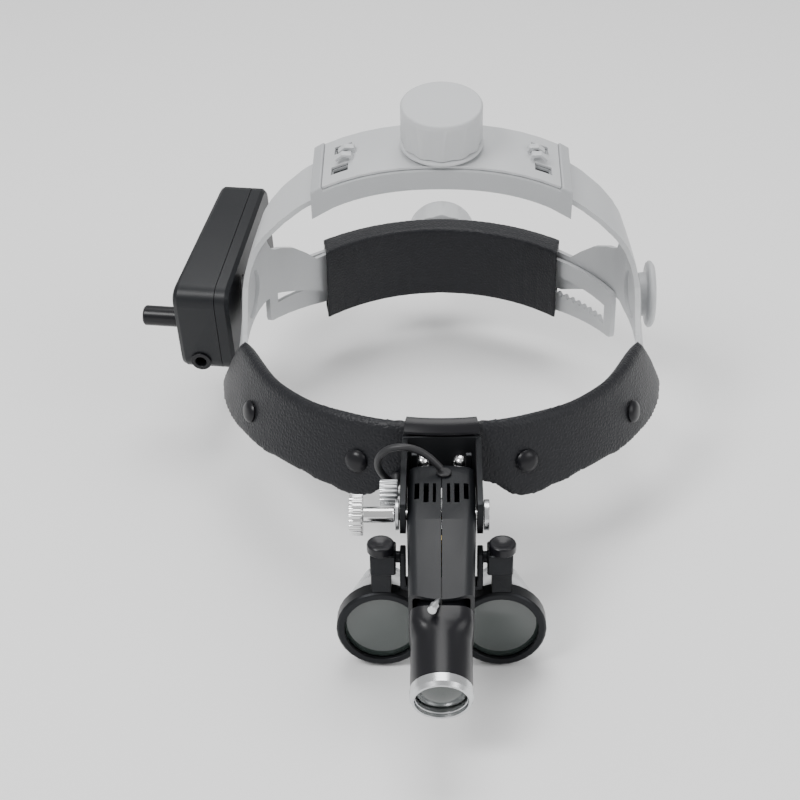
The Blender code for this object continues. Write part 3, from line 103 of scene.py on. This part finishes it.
# %% [markdown]
# Several finishes share the same small effects, so each effect is a node group
# that is built once. A group takes a size and an amount, and gives out only
# values that change over the surface: a colour, a roughness and a height.
# Plastic from a mould has a very fine even texture and a few dull patches.

# %% A helper for node groups
def new_group(name, inputs, outputs):
    group = bpy.data.node_groups.new(name, "ShaderNodeTree")
    for title, kind in inputs:
        group.interface.new_socket(title, in_out="INPUT", socket_type=kind)
    for title, kind in outputs:
        group.interface.new_socket(title, in_out="OUTPUT", socket_type=kind)
    return group, group.nodes.new("NodeGroupInput"), group.nodes.new("NodeGroupOutput")


def maths(group, operation, first, second):
    """One Math node. Each side is a socket or a number."""
    node = group.nodes.new("ShaderNodeMath")
    node.operation = operation
    for index, value in enumerate((first, second)):
        if isinstance(value, (int, float)):
            node.inputs[index].default_value = value
        else:
            group.links.new(value, node.inputs[index])
    return node.outputs[0]


NUMBER, COLOUR, PLACE = "NodeSocketFloat", "NodeSocketColor", "NodeSocketVector"

# %% The finish group: fine texture, tone and dull patches
finish, finish_in, finish_out = new_group(
    "surface_finish",
    [("Place", PLACE), ("Colour", COLOUR), ("Roughness", NUMBER),
     ("Grain Size", NUMBER), ("Patches", NUMBER)],
    [("Colour", COLOUR), ("Roughness", NUMBER), ("Height", NUMBER)])
fine = finish.nodes.new("ShaderNodeTexNoise")
fine.inputs["Detail"].default_value = 3.0
broad = finish.nodes.new("ShaderNodeTexNoise")
broad.inputs["Scale"].default_value = 45.0
broad.inputs["Detail"].default_value = 4.0
tone = finish.nodes.new("ShaderNodeHueSaturation")
for source, target in ((finish_in.outputs["Place"], fine.inputs["Vector"]),
                       (finish_in.outputs["Place"], broad.inputs["Vector"]),
                       (finish_in.outputs["Grain Size"], fine.inputs["Scale"]),
                       (finish_in.outputs["Colour"], tone.inputs["Color"])):
    finish.links.new(source, target)
centred = maths(finish, "SUBTRACT", broad.outputs["Fac"], 0.5)
patch = maths(finish, "MULTIPLY", centred, finish_in.outputs["Patches"])
finish.links.new(maths(finish, "ADD", maths(finish, "MULTIPLY", patch, 0.6), 1.0), tone.inputs["Value"])
finish.links.new(tone.outputs["Color"], finish_out.inputs["Colour"])
finish.links.new(maths(finish, "ADD", finish_in.outputs["Roughness"], patch), finish_out.inputs["Roughness"])
finish.links.new(fine.outputs["Fac"], finish_out.inputs["Height"])
print("group:", finish.name)

# %% [markdown]
# Leather is a field of small rounded pebbles with creases between them. A
# smooth Voronoi pattern gives the pebbles, and warping its place with a little
# noise stops them looking like tiles.

# %% The leather group
leather, leather_in, leather_out = new_group(
    "leather_grain", [("Place", PLACE), ("Pebbles", NUMBER)], [("Height", NUMBER)])
warp = leather.nodes.new("ShaderNodeTexNoise")
warp.inputs["Scale"].default_value = 160.0
shift = leather.nodes.new("ShaderNodeVectorMath")
shift.operation = "SCALE"
shift.inputs["Scale"].default_value = 0.0012
move = leather.nodes.new("ShaderNodeVectorMath")
pebble = leather.nodes.new("ShaderNodeTexVoronoi")
pebble.feature = "DISTANCE_TO_EDGE"
rounded = leather.nodes.new("ShaderNodeMapRange")
rounded.interpolation_type = "SMOOTHSTEP"
rounded.inputs["From Max"].default_value = 0.35
for source, target in ((leather_in.outputs["Place"], warp.inputs["Vector"]),
                       (warp.outputs["Color"], shift.inputs[0]),
                       (leather_in.outputs["Place"], move.inputs[0]),
                       (shift.outputs[0], move.inputs[1]),
                       (move.outputs[0], pebble.inputs["Vector"]),
                       (leather_in.outputs["Pebbles"], pebble.inputs["Scale"]),
                       (pebble.outputs["Distance"], rounded.inputs["Value"]),
                       (rounded.outputs["Result"], leather_out.inputs["Height"])):
    leather.links.new(source, target)
print("group:", leather.name)

# %% [markdown]
# Each finish below is one Principled shader with its plain numbers set on its
# own sockets. The groups only bring what changes over the surface.

# %% Make a finish
def place_group(material, tree):
    node = material.node_tree.nodes.new("ShaderNodeGroup")
    node.node_tree = tree
    return node


def make_finish(slot, colour, roughness, metallic, grain, depth, patches=0.12, **extra):
    material = bpy.data.materials.new(slot)
    material.use_nodes = True
    links = material.node_tree.links
    shader = material.node_tree.nodes["Principled BSDF"]
    shader.inputs["Metallic"].default_value = metallic
    for title, value in extra.items():
        shader.inputs[title.replace("_", " ")].default_value = value
    place = material.node_tree.nodes.new("ShaderNodeTexCoord").outputs["Object"]
    effect = place_group(material, finish)
    effect.inputs["Colour"].default_value = (*colour, 1)
    effect.inputs["Roughness"].default_value = roughness
    effect.inputs["Grain Size"].default_value = grain
    effect.inputs["Patches"].default_value = patches
    bump = material.node_tree.nodes.new("ShaderNodeBump")
    bump.inputs["Strength"].default_value = 0.35
    bump.inputs["Distance"].default_value = depth
    links.new(place, effect.inputs["Place"])
    links.new(effect.outputs["Colour"], shader.inputs["Base Color"])
    links.new(effect.outputs["Roughness"], shader.inputs["Roughness"])
    links.new(effect.outputs["Height"], bump.inputs["Height"])
    links.new(bump.outputs["Normal"], shader.inputs["Normal"])
    return material, bump, place


# %% Every slot's finish
FINISHES = {
    "pale_plastic": ((0.50, 0.51, 0.52), 0.42, 0.0, 2600, 0.00006),
    "grey_plastic": ((0.40, 0.41, 0.42), 0.45, 0.0, 2600, 0.00006),
    "charcoal_plastic": ((0.008, 0.009, 0.011), 0.40, 0.0, 2200, 0.00010),
    "black_plastic": ((0.006, 0.006, 0.008), 0.30, 0.0, 1800, 0.00003),
    "black_metal": ((0.016, 0.017, 0.019), 0.35, 0.6, 2000, 0.00005),
    "satin_metal": ((0.62, 0.63, 0.64), 0.28, 1.0, 1500, 0.00003),
    "bright_metal": ((0.78, 0.78, 0.78), 0.18, 1.0, 1200, 0.00001),
    "brass": ((0.65, 0.48, 0.20), 0.35, 1.0, 1500, 0.00003),
    "circuit_green": ((0.02, 0.15, 0.06), 0.50, 0.0, 900, 0.00004),
    "cell_wrap": ((0.05, 0.12, 0.35), 0.40, 0.0, 900, 0.00002),
    "cable_rubber": ((0.014, 0.014, 0.016), 0.45, 0.0, 1800, 0.00004),
}
materials = {slot: make_finish(slot, *values)[0] for slot, values in FINISHES.items()}
print("plain finishes:", len(materials))

# %% Leather and coated glass
PEBBLES_PER_METRE = 620.0
hide, hide_bump, hide_place = make_finish(
    "leather", (0.006, 0.0065, 0.009), 0.44, 0.0, 1500, 0.00018, Sheen_Weight=0.04)
hide_bump.inputs["Strength"].default_value = 0.6
pebbles = place_group(hide, leather)
pebbles.inputs["Pebbles"].default_value = PEBBLES_PER_METRE
hide.node_tree.links.new(hide_place, pebbles.inputs["Place"])
hide.node_tree.links.new(pebbles.outputs["Height"], hide_bump.inputs["Height"])
materials["leather"] = hide

coated, coated_bump, _ = make_finish("glass", (0.05, 0.065, 0.06), 0.04, 0.0, 600, 0.00001,
                                     patches=0.02, Transmission_Weight=0.35, Coat_Weight=1.0)
coated_bump.inputs["Strength"].default_value = 0.01
materials["glass"] = coated
for slot in ("leather", "charcoal_plastic", "black_plastic", "black_metal"):
    materials[slot].node_tree.nodes["Principled BSDF"].inputs["Specular IOR Level"].default_value = 0.3
print("finishes:", sorted(materials))

# %% [markdown]
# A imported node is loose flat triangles, so a round piece would show facets. A
# copy of each is welded, its flat triangles are joined, and its hard edges get
# a small bevel, because a real moulded or turned edge is never quite sharp.

# %% Soft-edged copies of the hard pieces
EDGE = {"pale_plastic": 0.00035, "grey_plastic": 0.0003, "charcoal_plastic": 0.0005}
PLAIN_EDGE = 0.0002
WELD = 2e-6
FLAT = math.radians(0.6)          # triangles that meet flatter than this are one face
CORNER = math.radians(38)         # an edge sharper than this is a real corner


def welded_copy(name):
    bm = bmesh.new()
    bm.from_mesh(frame["nodes"][name].data)
    bmesh.ops.remove_doubles(bm, verts=bm.verts, dist=WELD)
    bmesh.ops.dissolve_limit(bm, angle_limit=FLAT, verts=bm.verts, edges=bm.edges)
    mesh = bpy.data.meshes.new(name + "_fine")
    bm.to_mesh(mesh)
    bm.free()
    piece = bpy.data.objects.new(name + "_fine", mesh)
    bpy.context.scene.collection.objects.link(piece)
    return piece


def hand_over(piece, name, rides=True):
    """The piece stands for the node, in its finish and, when rides is true, on its body."""
    slot = slot_of[name]
    piece.data.materials.clear()
    piece.data.materials.append(materials[slot])
    if rides:
        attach(piece, frame["nodes"][name]["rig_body"])
    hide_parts(name)


slot_of["spot_lever"] = "satin_metal"     # its bare tip is what shows
soft = ("front_cushion", "rear_pad", "light_cable")
for name in sorted(frame["nodes"]):
    if name in soft:
        continue
    piece = welded_copy(name)
    bevel = piece.modifiers.new("soft_edges", "BEVEL")
    bevel.width = EDGE.get(slot_of[name], PLAIN_EDGE)
    bevel.segments = 2
    bevel.limit_method = "ANGLE"
    bevel.angle_limit = CORNER
    piece.data.shade_smooth()
    piece.data.set_sharp_from_angle(angle=CORNER)
    hand_over(piece, name)
print("soft-edged pieces:", len(frame["nodes"]) - len(soft))

# %% [markdown]
# The front band and the rear pad are leather over foam, already thin and tight.
# They could be sculpted by hand, but air pressure in a short cloth simulation
# swells them evenly. They sit close to their neighbours, so a cap keeps every
# point within a fifth of a millimetre of the solid, and the swelling is slight.

# %% Pad a leather piece
AIR_PRESSURE = 4.0
CLOTH_STEPS = 12
MOST_SWELL = 0.0002
BAND_GRID = 0.0011
PAD_GRID = 0.0009


def pad_out(name, voxel):
    piece = welded_copy(name)
    bpy.context.view_layer.objects.active = piece
    remesh = piece.modifiers.new("even", "REMESH")
    remesh.mode = "VOXEL"
    remesh.voxel_size = voxel
    bpy.ops.object.modifier_apply(modifier=remesh.name)
    start = [vertex.co.copy() for vertex in piece.data.vertices]
    cloth = piece.modifiers.new("cloth", "CLOTH")
    cloth.settings.use_pressure = True
    cloth.settings.uniform_pressure_force = AIR_PRESSURE
    cloth.settings.effector_weights.gravity = 0.0
    for step in range(1, CLOTH_STEPS + 1):
        bpy.context.scene.frame_set(step)
    bpy.ops.object.modifier_apply(modifier=cloth.name)
    bpy.context.scene.frame_set(1)
    for vertex, before in zip(piece.data.vertices, start):
        moved = vertex.co - before
        vertex.co = before + moved * min(1.0, MOST_SWELL / max(moved.length, 1e-9))
    piece.data.shade_smooth()
    hand_over(piece, name)
    print(name, "points:", len(start))


pad_out("front_cushion", BAND_GRID)
pad_out("rear_pad", PAD_GRID)

# %% [markdown]
# The light's cable leaves the band, loops up at one side and goes down into the
# headlight. It is baked in place and rides on neither body.

# %% Light cable
CABLE_RADIUS = 0.0014
CABLE_ROUTE = [
    (-17.6, -111.8, -13.0),
    (-18.8, -114.0, -10.5),
    (-21.8, -117.0, -5.6),
    (-23.9, -119.5, 0.2),
    (-23.4, -121.3, 5.9),
    (-19.6, -122.6, 10.2),
    (-14.0, -123.6, 11.7),
    (-8.6, -124.0, 10.4),
    (-4.4, -124.8, 7.8),
    (-1.6, -125.3, 5.0),
    (-0.4, -125.5, 3.7),
]


def smooth_line(points, steps):
    """A curve through the points, for an even bend between them."""
    route = [Vector(point) / 1000 for point in points]
    ends = [route[0] * 2 - route[1]] + route + [route[-1] * 2 - route[-2]]
    line = []
    for before, start, end, after in zip(ends, ends[1:], ends[2:], ends[3:]):
        for step in range(steps):
            t = step / steps
            line.append(0.5 * ((2 * start) + (end - before) * t
                               + (2 * before - 5 * start + 4 * end - after) * t * t
                               + (3 * start - before - 3 * end + after) * t ** 3))
    return line + [route[-1]]


line = smooth_line(CABLE_ROUTE, 3)
curve = bpy.data.curves.new("light_cable_fine", "CURVE")
curve.dimensions = "3D"
curve.bevel_depth = CABLE_RADIUS
curve.bevel_resolution = 5
curve.use_fill_caps = True
spline = curve.splines.new("POLY")
spline.points.add(len(line) - 1)
for point, place in zip(spline.points, line):
    point.co = (*place, 1)
spline.use_smooth = True
guide = bpy.data.objects.new("cable_guide", curve)
bpy.context.scene.collection.objects.link(guide)
bpy.context.view_layer.update()
cable_mesh = bpy.data.meshes.new_from_object(guide.evaluated_get(bpy.context.evaluated_depsgraph_get()))
bpy.data.objects.remove(guide)
cable = bpy.data.objects.new("light_cable_fine", cable_mesh)
bpy.context.scene.collection.objects.link(cable)
hand_over(cable, "light_cable", rides=False)
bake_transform(cable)

# %% [markdown]
# A pale floor and three broad soft lights, as in a plain studio. The floor lies
# just under the lowest piece.

# %% Floor and lights
FLOOR_GAP = 0.001
FLOOR_HALF = 4.0
floor_mesh = bpy.data.meshes.new("floor")
bm = bmesh.new()
bmesh.ops.create_grid(bm, x_segments=1, y_segments=1, size=FLOOR_HALF)
bmesh.ops.translate(bm, verts=bm.verts, vec=(0, 0, cad_box[0].z - FLOOR_GAP))
bm.to_mesh(floor_mesh)
bm.free()
floor = bpy.data.objects.new("floor", floor_mesh)
paper = bpy.data.materials.new("studio_paper")
paper.use_nodes = True
paper.node_tree.nodes["Principled BSDF"].inputs["Base Color"].default_value = (0.92, 0.92, 0.92, 1)
paper.node_tree.nodes["Principled BSDF"].inputs["Roughness"].default_value = 0.9
floor_mesh.materials.append(paper)
bpy.context.scene.collection.objects.link(floor)


def softbox(name, place, size, power):
    light = bpy.data.lights.new(name, "AREA")
    light.size = size
    light.energy = power
    lamp = bpy.data.objects.new(name, light)
    lamp.location = place
    lamp.rotation_euler = (-Vector(place)).to_track_quat("-Z", "Y").to_euler()
    bpy.context.scene.collection.objects.link(lamp)


softbox("key", (-0.7, -0.7, 1.1), 0.5, 13)
softbox("fill", (0.9, -0.6, 0.7), 0.7, 5)
softbox("top", (0, 0.4, 1.3), 0.8, 11)
world = bpy.data.worlds.new("studio")
world.use_nodes = True
world.node_tree.nodes["Background"].inputs["Color"].default_value = (1, 1, 1, 1)
world.node_tree.nodes["Background"].inputs["Strength"].default_value = 0.62
bpy.context.scene.world = world
print("floor height:", round(floor_mesh.vertices[0].co.z, 4))
